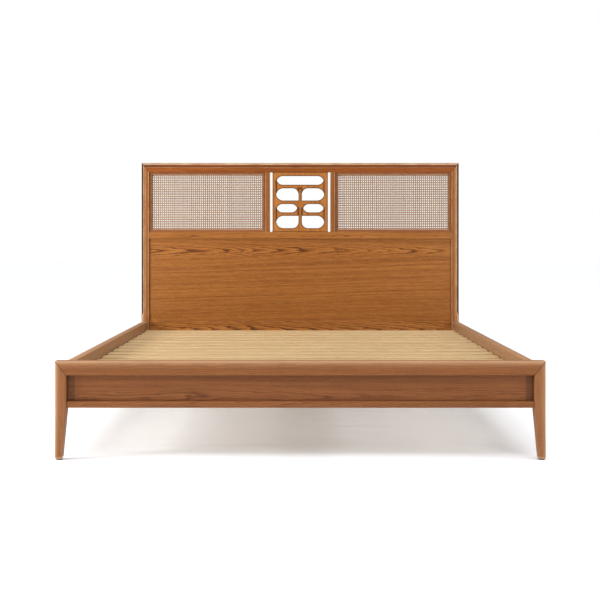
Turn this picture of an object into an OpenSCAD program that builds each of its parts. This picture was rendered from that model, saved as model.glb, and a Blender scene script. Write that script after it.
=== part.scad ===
// Double bed frame: mitred headboard with woven cane fields and a pierced centre
// panel, a low framed footboard, side rails, slats and a propped centre beam.
// +X is the right side seen from the foot, +Y points to the head, +Z is up.
// The origin is on the floor, under the middle of the bed.

/* [Overall] */
// Outer width over the posts
bed_w = 1600; // [1330:10:1920]
// Overall length, front of the footboard to back of the headboard
bed_l = 2095; // [1745:5:2515]
// Height of the headboard
head_h = 1106; // [920:1:1328]
// Height of the footboard
foot_h = 322; // [300:1:390]
// Height of the underside of the footboard above the floor
clear_h = 170; // [140:1:205]
// Height of the slats' top face, where the mattress rests
deck_h = 268; // [262:1:290]

/* [Posts, legs and top rails] */
// Width of a post or leg seen from the front
post_w = 37; // [30:1:46]
// Depth of a post or leg from front to back
post_d = 45; // [38:1:56]
// Height of the mitred top rails
rail_h = 46; // [38:1:56]
// Width of a leg at the floor
foot_w = 23; // [20:1:30]
// Depth of a leg at the floor
foot_d = 34; // [26:1:38]
// Width of the bevel along the headboard's outer edge
bevel_w = 8.5; // [3:0.5:11]
// Depth of that bevel
bevel_t = 7; // [2:0.5:9]
// Width of the sloping band inside the bevel
band_w = 10; // [6:0.5:12]
// Depth that the band falls
band_t = 3; // [1:0.5:5]
// Width and depth of the bevel round the footboard's outer edge
foot_bevel = 5; // [2:0.5:7]

/* [Headboard] */
// Height of the cane and fretwork fields
field_h = 303; // [260:1:363]
// Height of the rail under the fields
mid_rail_h = 33; // [27:1:40]
// Thickness of the middle rail
mid_rail_t = 28; // [24:1:32]
// Width of the fretwork panel
fret_w = 279; // [240:1:335]
// Thickness of the fretwork panel
fret_t = 18; // [15:1:22]
// Width of the open slot on each side of the fretwork panel
slot_w = 12.5; // [10:0.5:15]
// Width of an inner stile
stile_w = 23.5; // [18:0.5:28]
// Thickness of an inner stile
stile_t = 25; // [20:1:28]
// Width of the beads that hold the cane
bead_w = 14; // [10:0.5:17]
// Thickness of those beads
bead_t = 9; // [7:0.5:11]
// How far the beads lie behind the frame's face
bead_back = 8; // [5:0.5:10]
// Thickness of the cane sheets
cane_t = 1.5; // [1:0.1:2.5]
// Thickness of the wide lower board
board_t = 18; // [15:1:22]
// How far the lower board lies behind the frame's face
board_back = 9; // [6:0.5:10]

/* [Fretwork] */
// Half length of the long top opening
long_half = 118; // [100:1:122]
// Distance from the middle to the outer tips of the two tall pairs
tall_tip = 121; // [110:1:124]
// Height of the long top opening
long_h = 44; // [34:1:50]
// Height of each opening in the tall pairs
tall_h = 62; // [50:1:68]
// Height of each opening in the small pair
small_h = 42; // [34:1:48]
// Width of the middle bar
mullion_w = 17; // [12:1:22]
// Depth of the two sunk bars
sunk_t = 4; // [2:0.5:6]

/* [Footboard] */
// Height of the footboard's bottom rail
sill_h = 20.5; // [16:0.5:26]
// Thickness of the bottom rail
sill_t = 32; // [26:1:36]
// Thickness of the footboard's panel
panel_t = 16; // [12:1:18]
// How far the panel lies behind the legs' faces
panel_back = 20; // [14:1:22]
// Thickness of the cleat behind the panel
cleat_t = 22; // [18:1:28]

/* [Side rails and slats] */
// Height of a side rail
side_h = 130; // [110:1:145]
// Thickness of a side rail
side_t = 28; // [24:1:30]
// How far a side rail lies inside the posts' outer faces
side_inset = 5; // [2:1:7]
// Width of a ledger strip
ledger_w = 30; // [24:1:40]
// Height of a ledger strip
ledger_h = 40; // [30:1:50]
// Width of a slat
slat_w = 80; // [60:1:96]
// Thickness of a slat
slat_t = 18; // [15:1:22]

/* [Centre support] */
// Width of the centre beam
beam_w = 45; // [38:1:54]
// Height of the centre beam
beam_h = 70; // [60:1:84]
// Width of the centre leg at its top
prop_w = 44; // [38:1:52]
// Width of the centre leg at its foot
prop_foot_w = 34; // [30:1:38]
// Distance from the footboard's face to the centre leg
prop_y = 1265; // [1060:5:1515]

/* [Hardware] */
// Diameter of the rail studs, the centre leg's bolt and the levelling screw
stud_d = 8; // [6:1:10]
// Radius of the nut pockets in the side rails
pocket_r = 16; // [14:0.5:18]
// Shank diameter of the wood screws
screw_d = 4; // [3:0.5:5]
// Thickness of the corner glides
glide_t = 3; // [2:0.5:5]
// Radius of the corner glides
glide_r = 10; // [8:0.5:11]
// Thickness of the levelling foot's pad
pad_t = 6; // [5:0.5:8]

/* [Hidden] */
$fn = 48;

oak = "#a8682f";
light_oak = "#b8783f";
pale_wood = "#d8b98c";
cane_colour = "#cdb095";
steel = "#a9adb2";
black_plastic = "#2b2b2b";

slat_count = 14;
// Small arris taken off square edges
arris = 1.5;
// Clearance between strips that meet at a mitre
mitre_gap = 0.2;
// Play round a tongue in its groove
play = 0.5;
// Reach of cutting shapes past the pieces they cut
past = 1;

// Half width, and the inner faces of posts and legs
half_w = bed_w / 2;
post_in = half_w - post_w;
foot_y = -bed_l / 2;
back_y = bed_l / 2;
head_y = back_y - post_d;

// Levels in the headboard; the fields run from field_z0 up to field_z1
field_z1 = head_h - rail_h;
field_z0 = field_z1 - field_h;
mid_z0 = field_z0 - mid_rail_h;
side_z0 = clear_h + 6;
side_z1 = side_z0 + side_h;
low_rail_t = 25;
low_rail_back = 8;
// The posts' moulding stops above the side rails
stop_z = side_z1 + 24;

// Inner edges of the headboard's fields
fret_half = fret_w / 2;
stile_x0 = fret_half + slot_w;
stile_x1 = stile_x0 + stile_w;

// Depths behind the headboard's front plane
bead_y = band_t + bead_back;
cane_y = bead_y + bead_t;
backing_y = cane_y + cane_t;
backing_t = 10;
backing_w = 12;
board_y = band_t + board_back;
fret_y = band_t + 2;

// Tongues and tenons
tongue_t = 8;
tongue_l = 8;
tenon_l = 24;
low_tenon_l = 11;
stub_l = 10;
shoulder = 5;
// Loose tenons in the mitres: square, and set behind the moulding
spline_w = 0.58 * post_w;
spline_t = 6;
spline_y = 0.6 * post_d;

// Fretwork rows from the top: long, tall pair, small pair, tall pair. The margins
// at the top and bottom are a little wider than the bars between the rows
edge_ratio = 1.13;
fret_bar = (field_h - long_h - 2 * tall_h - small_h) / (3 + 2 * edge_ratio);
fret_edge = edge_ratio * fret_bar;
long_z = field_z1 - fret_edge - long_h / 2;
tall_top_z = long_z - long_h / 2 - fret_bar - tall_h / 2;
small_z = tall_top_z - tall_h / 2 - fret_bar - small_h / 2;
tall_low_z = small_z - small_h / 2 - fret_bar - tall_h / 2;
fret_y0 = head_y + fret_y;
fret_y1 = fret_y0 + fret_t;

// Levels in the footboard
panel_z0 = clear_h + sill_h;
panel_z1 = foot_h - rail_h;
sill_back = 4;
cleat_y = panel_back + panel_t;

// Side rails, ledgers and slats
side_x1 = half_w - side_inset;
side_x0 = side_x1 - side_t;
side_y0 = foot_y + post_d;
side_y1 = head_y;
ledge_z = deck_h - slat_t;
ledger_x0 = side_x0 - ledger_w;
ledger_end = 70;
slat_half = side_x0 - 2;
slat_y0 = side_y0 + ledger_end + slat_w / 2 + 5;
slat_y1 = side_y1 - ledger_end - slat_w / 2 - 5;
arc_steps = 10;

// Points along an arc of radius r round (cx, cz), from angle a0 to a1
function arc(cx, cz, r, a0, a1) =
    [for (i = [0 : arc_steps]) let (a = a0 + (a1 - a0) * i / arc_steps)
        [cx + r * cos(a), cz + r * sin(a)]];

function slat_y(i) = slat_y0 + (slat_y1 - slat_y0) * (i - 1) / (slat_count - 1);

// Centre beam and its hangers
hanger_t = 2.5;
hanger_l = 40;
hanger_side = 22;
beam_y0 = foot_y + cleat_y + cleat_t + hanger_t;
beam_y1 = head_y + low_rail_back - hanger_t;
beam_z0 = ledge_z - beam_h;

// Rail fixings: studs, half-moon washers and nuts in round pockets
stud_x = side_x0 + side_t / 2;
stud_in = 32;
pocket_y = 40;
pocket_depth = side_t / 2 + 8;
washer_chord = 9;
nut_t = 6.5;
stud_levels = [side_z0 + 30, side_z1 - 30];
dowel_z = (side_z0 + side_z1) / 2;
dowel_d = 10;
dowel_l = 50;

// Wood screws
screw_head_d = 2 * screw_d;
slat_screw_l = 40;
ledger_screw_l = 50;
hanger_screw_l = 16;
plate_screw_l = 20;
cleat_screw_l = 30;

// Centre leg and levelling foot
plate_t = 3;
plate_w = 70;
prop_at = foot_y + prop_y;
prop_z1 = beam_z0 - plate_t;
prop_z0 = 19;
hex_h = 5;
hex_d = 15;
pivot_d = 6;
pivot_l = 3;
insert_d = 12;
insert_l = 20;
leveller_screw_top = 50;
running = 0.05;

// ---------- shared shapes ----------

// Block between two corners
module block(x0, x1, y0, y1, z0, z1) {
    translate([x0, y0, z0]) cube([x1 - x0, y1 - y0, z1 - z0]);
}

// Outline in X and Z, carried from y0 to y1
module slab_xz(points, y0, y1) {
    translate([0, y1, 0]) rotate([90, 0, 0]) linear_extrude(y1 - y0) polygon(points);
}

// Outline in Y and Z, carried from x0 to x1
module slab_yz(points, x0, x1) {
    translate([x0, 0, 0]) rotate([90, 0, 90]) linear_extrude(x1 - x0) polygon(points);
}

// Round bar along Y from y0 to y1
module bar_y(x, z, d, y0, y1) {
    translate([x, y0, z]) rotate([-90, 0, 0]) cylinder(d = d, h = y1 - y0);
}

// The right-hand piece as it is, or its mirror image on the left
module on_side(right) {
    if (right) children();
    else mirror([1, 0, 0]) children();
}

// The same thing on both sides
module both_sides() {
    children();
    mirror([1, 0, 0]) children();
}

// Countersunk wood screw: its head's top at the origin, its shank along -Z
module wood_screw(length) {
    cone_h = (screw_head_d - screw_d) / 2;
    translate([0, 0, -cone_h]) cylinder(d1 = screw_d, d2 = screw_head_d, h = cone_h);
    translate([0, 0, -length]) cylinder(d = screw_d, h = length - cone_h + 0.01);
}

// Moulded section: x runs from the outer edge inwards, y from the front to the back
module moulding(w, bw, bt, sw, st) {
    s = w / post_w;
    polygon([[0, bt], [bw * s, 0], [(bw + sw) * s, st], [w - arris, st], [w, st + arris],
        [w, post_d], [0, post_d]]);
}

module head_moulding(w) {
    moulding(w, bevel_w, bevel_t, band_w, band_t);
}

module foot_moulding(w) {
    moulding(w, foot_bevel, foot_bevel, post_w / 2, 1);
}

// Front outline of a right-hand post of height h, mitred at its top and tapered below
module post_outline(h, y0) {
    slab_xz([[half_w - foot_w + foot_bevel, glide_t], [half_w - foot_bevel, glide_t],
        [half_w, glide_t + foot_bevel], [half_w, h], [post_in, h - rail_h],
        [post_in, clear_h], [half_w - foot_w, glide_t + foot_bevel]],
        y0 - past, y0 + post_d + past);
}

// Side outline of a leg: the face at y0 is upright, the one at y0 + dir * post_d tapers
module leg_profile(h, y0, dir) {
    slab_yz([[y0, glide_t], [y0 + dir * foot_d, glide_t], [y0 + dir * post_d, clear_h],
        [y0 + dir * post_d, h], [y0, h]], post_in - past, half_w + past);
}

// Front outline of a mitred top rail with its top at h
module rail_outline(h, y0) {
    slab_xz([[-half_w, h], [half_w, h], [post_in, h - rail_h], [-post_in, h - rail_h]],
        y0 - past, y0 + post_d + past);
}

// Loose tenon across one right-hand mitre
module mitre_spline(h, y0) {
    angle = atan2(rail_h, post_w);
    translate([half_w - post_w / 2, y0 + spline_y, h - rail_h / 2])
        rotate([0, -angle, 0]) cube([spline_w, spline_t, spline_w], center = true);
}

// ---------- headboard ----------

// Tenons of the headboard's middle and bottom rails, on the right
module mid_tenon() {
    block(post_in, post_in + tenon_l, head_y + 12, head_y + 22,
        mid_z0 + shoulder, field_z0 - shoulder);
}

module bottom_tenon() {
    block(post_in, post_in + low_tenon_l, head_y + 14, head_y + 24,
        side_z0 + 15, side_z1 - 15);
}

// Groove or tongue of the lower board, reaching l past each of its edges
module board_tongue(l) {
    y0 = head_y + board_y + (board_t - tongue_t) / 2;
    block(-post_in - l, post_in + l, y0, y0 + tongue_t, side_z1 - l, mid_z0 + l);
}

// Everything fixed into the right-hand rail ends of a post: studs and dowel
module corner_bores() {
    for (z = stud_levels) bar_y(stud_x, z, stud_d, -stud_in, 0);
    bar_y(stud_x, dowel_z, dowel_d, -dowel_l / 2, 0);
}

// Local frame of a right-hand rail end: y = 0 on the joint, +y into the rail
module at_foot_end() {
    translate([0, side_y0, 0]) children();
}

module at_head_end() {
    translate([0, side_y1, 0]) mirror([0, 1, 0]) children();
}

module at_corners() {
    both_sides() {
        at_foot_end() children();
        at_head_end() children();
    }
}

module head_post(right) {
    color(oak) on_side(right) difference() {
        intersection() {
            union() {
                translate([half_w, head_y, stop_z]) mirror([1, 0, 0])
                    linear_extrude(head_h - stop_z) head_moulding(post_w);
                block(post_in, half_w, head_y, back_y, 0, stop_z);
            }
            post_outline(head_h, head_y);
            leg_profile(head_h, back_y, -1);
        }
        mid_tenon();
        bottom_tenon();
        board_tongue(tongue_l);
        at_head_end() corner_bores();
        mitre_spline(head_h, head_y);
        glide_pin(half_w - foot_w / 2, back_y - foot_d / 2);
    }
}

module head_top_rail() {
    color(oak) difference() {
        intersection() {
            translate([-half_w, head_y, head_h]) rotate([0, 90, 0])
                linear_extrude(bed_w) head_moulding(rail_h);
            rail_outline(head_h, head_y);
        }
        fret_tongue(tongue_l);
        both_sides() stile_stubs(stub_l);
        both_sides() mitre_spline(head_h, head_y);
    }
}

module head_mid_rail() {
    color(oak) difference() {
        union() {
            block(-post_in, post_in, head_y + band_t, head_y + band_t + mid_rail_t,
                mid_z0, field_z0);
            both_sides() mid_tenon();
        }
        board_tongue(tongue_l);
        fret_tongue(tongue_l);
        both_sides() stile_stubs(stub_l);
    }
}

module head_bottom_rail() {
    y0 = head_y + low_rail_back;
    color(oak) difference() {
        union() {
            block(-post_in, post_in, y0, y0 + low_rail_t, side_z0, side_z1);
            both_sides() bottom_tenon();
        }
        board_tongue(tongue_l);
        head_hanger_screws();
    }
}

module head_board() {
    color(oak) union() {
        block(-post_in, post_in, head_y + board_y, head_y + board_y + board_t,
            side_z1, mid_z0);
        board_tongue(tongue_l - play);
    }
}

// Stub tenons of a right-hand inner stile, reaching l into both rails
module stile_stubs(l) {
    block(stile_x0 + shoulder, stile_x1 - shoulder, head_y + 10, head_y + 20,
        field_z0 - l, field_z1 + l);
}

// Ear that rounds a slot's end, filling its corner (x, z) towards dx and dz
module slot_ear(x, z, dx, dz, y0, y1) {
    r = slot_w / 2;
    slab_xz(concat([[x, z]], [for (p = arc(0, 0, r, 180, 270)) [x + dx * (r + p[0]),
        z + dz * (r + p[1])]]), y0, y1);
}

module inner_stile(right) {
    y0 = head_y + band_t;
    color(oak) on_side(right) union() {
        block(stile_x0, stile_x1, y0, y0 + stile_t, field_z0, field_z1);
        stile_stubs(stub_l - play);
        slot_ear(stile_x0, field_z0, -1, 1, y0, y0 + stile_t);
        slot_ear(stile_x0, field_z1, -1, -1, y0, y0 + stile_t);
    }
}

// ---------- fretwork panel ----------

// Tongue along the panel's top and bottom edges, reaching l into both rails
module fret_tongue(l) {
    y0 = fret_y0 + (fret_t - tongue_t) / 2;
    block(-fret_half, fret_half, y0, y0 + tongue_t, field_z0 - l, field_z1 + l);
}

// Right-hand end of an opening of height h: two arcs, p long, that meet at the tip
function pointed_end(tip, z, h, p) =
    let (half = h / 2, r = (p * p + half * half) / h, meet = atan2(r - half, p))
    concat(arc(tip - p, z - half + r, r, -90, -meet),
        [for (i = [1 : arc_steps]) arc(tip - p, z + half - r, r, meet, 90)[i]]);

// The same outline reversed and mirrored in the line x = at
function mirrored_x(points, at) =
    [for (i = [len(points) - 1 : -1 : 0]) [2 * at - points[i][0], points[i][1]]];

// The same outline reversed and mirrored in the line z = at
function mirrored_z(points, at) =
    [for (i = [len(points) - 1 : -1 : 0]) [points[i][0], 2 * at - points[i][1]]];

// Opening pointed at both ends, its tips at x0 and x1
function lens(x0, x1, z, h) =
    let (end = pointed_end(x1, z, h, h * 0.7))
    concat(end, mirrored_x(end, (x0 + x1) / 2));

// Tall opening: pointed outside, its upper inner corner fully rounded
function tall_outline(z) =
    let (r = tall_h / 2, x0 = mullion_w / 2)
    concat(pointed_end(tall_tip, z, tall_h, tall_h * 0.58),
        arc(x0 + r, z, r, 90, 180), [[x0, z - r]]);

module opening(points) {
    slab_xz(points, fret_y0 - past, fret_y1 + past);
}

// Sunk part of a bar's face, from the tips below it to the tips above it
module sunk_bar(x0, z0, z1) {
    block(x0, tall_tip, fret_y0 - past, fret_y0 + sunk_t, z0, z1);
}

module fretwork_panel() {
    color(light_oak) difference() {
        union() {
            block(-fret_half, fret_half, fret_y0, fret_y1, field_z0, field_z1);
            fret_tongue(tongue_l - play);
            both_sides() {
                slot_ear(fret_half, field_z0, 1, 1, fret_y0, fret_y1);
                slot_ear(fret_half, field_z1, 1, -1, fret_y0, fret_y1);
            }
        }
        opening(lens(-long_half, long_half, long_z, long_h));
        both_sides() {
            opening(tall_outline(tall_top_z));
            opening(lens(mullion_w / 2 + 7, tall_tip - 3, small_z, small_h));
            opening(mirrored_z(tall_outline(tall_low_z), tall_low_z));
            sunk_bar(mullion_w / 2, tall_top_z, long_z);
            sunk_bar(mullion_w / 2, tall_low_z, small_z);
            sunk_bar(-past, long_z - long_h / 2 - fret_bar, long_z);
        }
    }
}

// ---------- cane ----------

// Four mitred strips of width w round a right-hand cane field
module field_strips(w, y0, y1) {
    x0 = stile_x1;
    x1 = post_in;
    z0 = field_z0;
    z1 = field_z1;
    g = mitre_gap;
    slab_xz([[x0 + g, z1], [x1 - g, z1], [x1 - w - g, z1 - w], [x0 + w + g, z1 - w]],
        y0, y1);
    slab_xz([[x0 + g, z0], [x1 - g, z0], [x1 - w - g, z0 + w], [x0 + w + g, z0 + w]],
        y0, y1);
    slab_xz([[x0, z0 + g], [x0 + w, z0 + w + g], [x0 + w, z1 - w - g], [x0, z1 - g]],
        y0, y1);
    slab_xz([[x1, z0 + g], [x1 - w, z0 + w + g], [x1 - w, z1 - w - g], [x1, z1 - g]],
        y0, y1);
}

module cane_sheet(right) {
    color(cane_colour) on_side(right)
        block(stile_x1 + play, post_in - play, head_y + cane_y, head_y + backing_y,
            field_z0 + play, field_z1 - play);
}

module cane_bead(right) {
    color(oak) on_side(right) field_strips(bead_w, head_y + bead_y, head_y + cane_y);
}

module cane_backing(right) {
    y0 = head_y + backing_y;
    color(oak) on_side(right) field_strips(backing_w, y0, y0 + backing_t);
}

// ---------- footboard ----------

// Tenon of the footboard's bottom rail, on the right
module sill_tenon() {
    block(post_in, post_in + tenon_l, foot_y + 14, foot_y + 26,
        clear_h + shoulder, panel_z0);
}

// Groove or tongue of the footboard's panel
module panel_tongue(l) {
    y0 = foot_y + panel_back + (panel_t - tongue_t) / 2;
    block(-post_in - l, post_in + l, y0, y0 + tongue_t, panel_z0 - l, panel_z1 + l);
}

module foot_leg(right) {
    color(light_oak) on_side(right) difference() {
        intersection() {
            translate([half_w, foot_y, 0]) mirror([1, 0, 0])
                linear_extrude(foot_h) foot_moulding(post_w);
            post_outline(foot_h, foot_y);
            leg_profile(foot_h, foot_y, 1);
        }
        sill_tenon();
        panel_tongue(tongue_l);
        at_foot_end() corner_bores();
        mitre_spline(foot_h, foot_y);
        glide_pin(half_w - foot_w / 2, foot_y + foot_d / 2);
    }
}

module foot_top_rail() {
    color(oak) difference() {
        intersection() {
            translate([-half_w, foot_y, foot_h]) rotate([0, 90, 0])
                linear_extrude(bed_w) foot_moulding(rail_h);
            rail_outline(foot_h, foot_y);
        }
        panel_tongue(tongue_l);
        both_sides() mitre_spline(foot_h, foot_y);
    }
}

module foot_bottom_rail() {
    y0 = foot_y + sill_back;
    color(oak) difference() {
        union() {
            block(-post_in, post_in, y0, y0 + sill_t, clear_h, panel_z0);
            both_sides() sill_tenon();
        }
        panel_tongue(tongue_l);
    }
}

module foot_panel() {
    y0 = foot_y + panel_back;
    color(oak) difference() {
        union() {
            block(-post_in, post_in, y0, y0 + panel_t, panel_z0, panel_z1);
            panel_tongue(tongue_l - play);
        }
        cleat_screws_placed();
    }
}

module foot_cleat() {
    y0 = foot_y + cleat_y;
    color(pale_wood) difference() {
        block(-slat_half, slat_half, y0, y0 + cleat_t, beam_z0, ledge_z);
        both_sides() block(post_in, half_w, y0 - past, foot_y + post_d, 0, foot_h);
        cleat_screws_placed();
        foot_hanger_screws();
    }
}

// Screws through the cleat into the back of the panel
module cleat_screws_placed() {
    n = 7;
    for (i = [0 : n - 1])
        translate([-0.9 * post_in + 1.8 * post_in * i / (n - 1) + (i == 3 ? 90 : 0),
            foot_y + cleat_y + cleat_t, (panel_z0 + ledge_z) / 2])
            rotate([-90, 0, 0]) wood_screw(cleat_screw_l);
}

// ---------- side rails, ledgers and slats ----------

// Clearance bores, nut pockets and dowel hole in one rail end
module rail_end_cuts() {
    for (z = stud_levels) {
        bar_y(stud_x, z, stud_d + 1, -past, pocket_y);
        translate([side_x0 - past, pocket_y, z]) rotate([0, 90, 0])
            cylinder(r = pocket_r, h = pocket_depth + past);
    }
    bar_y(stud_x, dowel_z, dowel_d, -past, dowel_l / 2);
}

module side_rail(right) {
    color(oak) on_side(right) difference() {
        block(side_x0, side_x1, side_y0, side_y1, side_z0, side_z1);
        at_foot_end() rail_end_cuts();
        at_head_end() rail_end_cuts();
        ledger_screws_right();
    }
}

// Screws through a right-hand ledger into its rail, between the slats' screws
module ledger_screws_right() {
    for (i = [1 : 2 : slat_count - 1])
        translate([ledger_x0, (slat_y(i) + slat_y(i + 1)) / 2, ledge_z - ledger_h / 2])
            rotate([0, -90, 0]) wood_screw(ledger_screw_l);
}

module ledger(right) {
    color(pale_wood) on_side(right) difference() {
        block(ledger_x0, side_x0, side_y0 + ledger_end, side_y1 - ledger_end,
            ledge_z - ledger_h, ledge_z);
        ledger_screws_right();
        for (i = [1 : slat_count]) slat_end_screw(i);
    }
}

// Screw through a slat's right-hand end into the ledger
module slat_end_screw(i) {
    translate([side_x0 - ledger_w / 2, slat_y(i), deck_h]) wood_screw(slat_screw_l);
}

// Screw through a slat's middle into the centre beam
module slat_mid_screw(i) {
    translate([0, slat_y(i), deck_h]) wood_screw(slat_screw_l);
}

module slat(i) {
    color(pale_wood) difference() {
        block(-slat_half, slat_half, slat_y(i) - slat_w / 2, slat_y(i) + slat_w / 2,
            ledge_z, deck_h);
        both_sides() slat_end_screw(i);
        slat_mid_screw(i);
    }
}

// ---------- centre beam and leg ----------

module centre_beam() {
    color(pale_wood) difference() {
        block(-beam_w / 2, beam_w / 2, beam_y0, beam_y1, beam_z0, ledge_z);
        for (i = [1 : slat_count]) slat_mid_screw(i);
        plate_screws_placed();
        leg_bolt_shape();
    }
}

// Steel stirrup with its back plate on y = 0, open towards +y, under the beam's end
module stirrup() {
    x = beam_w / 2;
    difference() {
        union() {
            block(-x - hanger_side, x + hanger_side, -hanger_t, 0,
                beam_z0 - hanger_t, ledge_z - 2);
            block(-x - hanger_t, x + hanger_t, 0, hanger_l, beam_z0 - hanger_t, beam_z0);
            block(-x - hanger_t, -x, 0, hanger_l, beam_z0, ledge_z - 2);
            block(x, x + hanger_t, 0, hanger_l, beam_z0, ledge_z - 2);
        }
        hanger_screw_set();
    }
}

module hanger_screw_set() {
    for (z = [beam_z0 + 16, ledge_z - 18])
        both_sides() translate([beam_w / 2 + hanger_t + hanger_side / 2, 0, z])
            rotate([-90, 0, 0]) wood_screw(hanger_screw_l);
}

module foot_hanger_screws() {
    translate([0, beam_y0, 0]) hanger_screw_set();
}

module head_hanger_screws() {
    translate([0, beam_y1, 0]) mirror([0, 1, 0]) hanger_screw_set();
}

module beam_hanger_foot() {
    color(steel) translate([0, beam_y0, 0]) stirrup();
}

module beam_hanger_head() {
    color(steel) translate([0, beam_y1, 0]) mirror([0, 1, 0]) stirrup();
}

// Bolt that joins the centre leg to its plate, screwed into the leg and beam
module leg_bolt_shape() {
    translate([0, prop_at, prop_z1 - 40]) cylinder(d = stud_d, h = 40 + plate_t + 25);
}

module leg_bolt() {
    color(steel) leg_bolt_shape();
}

module plate_screws_placed() {
    for (dy = [-1, 1]) both_sides()
        translate([beam_w / 2 - 10, prop_at + dy * (plate_w / 2 - 7), prop_z1])
            mirror([0, 0, 1]) wood_screw(plate_screw_l);
}

module leg_plate() {
    color(steel) difference() {
        translate([-beam_w / 2, prop_at - plate_w / 2, prop_z1])
            cube([beam_w, plate_w, plate_t]);
        leg_bolt_shape();
        plate_screws_placed();
    }
}

// Outline of the centre leg, square and tapered
function prop_outline(at) = [[at - prop_foot_w / 2, prop_z0], [at + prop_foot_w / 2, prop_z0],
    [at + prop_w / 2, prop_z1], [at - prop_w / 2, prop_z1]];

module centre_leg() {
    color(oak) difference() {
        intersection() {
            slab_xz(prop_outline(0), prop_at - prop_w, prop_at + prop_w);
            slab_yz(prop_outline(prop_at), -prop_w, prop_w);
        }
        leg_bolt_shape();
        translate([0, prop_at, prop_z0 - past]) cylinder(d = insert_d, h = insert_l + past);
        translate([0, prop_at, prop_z0]) cylinder(d = stud_d + 1, h = insert_l + 25);
    }
}

module leveller_insert() {
    color("#c9a24a") translate([0, prop_at, prop_z0]) difference() {
        cylinder(d = insert_d, h = insert_l);
        translate([0, 0, -past])
            cylinder(d = stud_d + 2 * running, h = insert_l + 2 * past);
    }
}

module leveller_screw() {
    color(steel) translate([0, prop_at, 0]) {
        translate([0, 0, pad_t - pivot_l]) cylinder(d = pivot_d, h = pivot_l + past);
        translate([0, 0, pad_t]) cylinder(d = hex_d, h = hex_h, $fn = 6);
        translate([0, 0, pad_t + hex_h - past])
            cylinder(d = stud_d, h = leveller_screw_top - pad_t - hex_h + past);
    }
}

module leveller_pad() {
    bore_l = pivot_l + running;
    color(black_plastic) translate([0, prop_at, 0]) difference() {
        cylinder(d = prop_foot_w - 2, h = pad_t - running);
        translate([0, 0, pad_t - bore_l])
            cylinder(d = pivot_d + 2 * running, h = bore_l + past);
    }
}

// ---------- hardware ----------

module mitre_splines() {
    color(pale_wood) both_sides() {
        mitre_spline(head_h, head_y);
        mitre_spline(foot_h, foot_y);
    }
}

module rail_dowels() {
    color(pale_wood) at_corners() bar_y(stud_x, dowel_z, dowel_d, -dowel_l / 2, dowel_l / 2);
}

module rail_studs() {
    color(steel) at_corners() for (z = stud_levels)
        bar_y(stud_x, z, stud_d, -stud_in, pocket_y + 2);
}

// Segment that fits the pocket's round wall and gives the nut a flat seat
module half_moon_washers() {
    color(steel) at_corners() for (z = stud_levels) difference() {
        intersection() {
            translate([stud_x - 8, pocket_y, z]) rotate([0, 90, 0])
                cylinder(r = pocket_r, h = 16);
            block(side_x0, side_x1, pocket_y - pocket_r - past, pocket_y - washer_chord,
                z - pocket_r, z + pocket_r);
        }
        bar_y(stud_x, z, stud_d, -past, pocket_y);
    }
}

module rail_nuts() {
    color(steel) at_corners() for (z = stud_levels)
        translate([stud_x, pocket_y - washer_chord, z]) rotate([-90, 0, 0]) difference() {
            cylinder(d = 1.85 * stud_d, h = nut_t, $fn = 6);
            translate([0, 0, -past]) cylinder(d = stud_d, h = nut_t + 2 * past);
        }
}

// Pin of a corner glide, driven into the leg at x, y
module glide_pin(x, y) {
    translate([x, y, glide_t - 0.01]) cylinder(d = 3, h = 14);
}

module foot_glides() {
    x = half_w - foot_w / 2;
    color(black_plastic) both_sides() for (y = [foot_y + foot_d / 2, back_y - foot_d / 2]) {
        translate([x, y, 0]) cylinder(r = glide_r, h = glide_t);
        glide_pin(x, y);
    }
}

module slat_screws() {
    color(steel) for (i = [1 : slat_count]) {
        both_sides() slat_end_screw(i);
        slat_mid_screw(i);
    }
}

module ledger_screws() {
    color(steel) both_sides() ledger_screws_right();
}

module hanger_screws() {
    color(steel) {
        foot_hanger_screws();
        head_hanger_screws();
    }
}

module plate_screws() {
    color(steel) plate_screws_placed();
}

module cleat_screws() {
    color(steel) cleat_screws_placed();
}

head_post(false);  // head_post_left
head_post(true);  // head_post_right
head_top_rail();
head_mid_rail();
head_bottom_rail();
head_board();
inner_stile(false);  // inner_stile_left
inner_stile(true);  // inner_stile_right
fretwork_panel();
cane_sheet(false);  // cane_sheet_left
cane_sheet(true);  // cane_sheet_right
cane_bead(false);  // cane_bead_left
cane_bead(true);  // cane_bead_right
cane_backing(false);  // cane_backing_left
cane_backing(true);  // cane_backing_right
foot_leg(false);  // foot_leg_left
foot_leg(true);  // foot_leg_right
foot_top_rail();
foot_bottom_rail();
foot_panel();
foot_cleat();
side_rail(false);  // side_rail_left
side_rail(true);  // side_rail_right
ledger(false);  // ledger_left
ledger(true);  // ledger_right
for (i = [1 : slat_count]) slat(i);
centre_beam();
beam_hanger_foot();
beam_hanger_head();
centre_leg();
leg_plate();
leg_bolt();
leveller_insert();
leveller_screw();
leveller_pad();
mitre_splines();
rail_dowels();
rail_studs();
half_moon_washers();
rail_nuts();
foot_glides();
slat_screws();
ledger_screws();
hanger_screws();
plate_screws();
cleat_screws();
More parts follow.
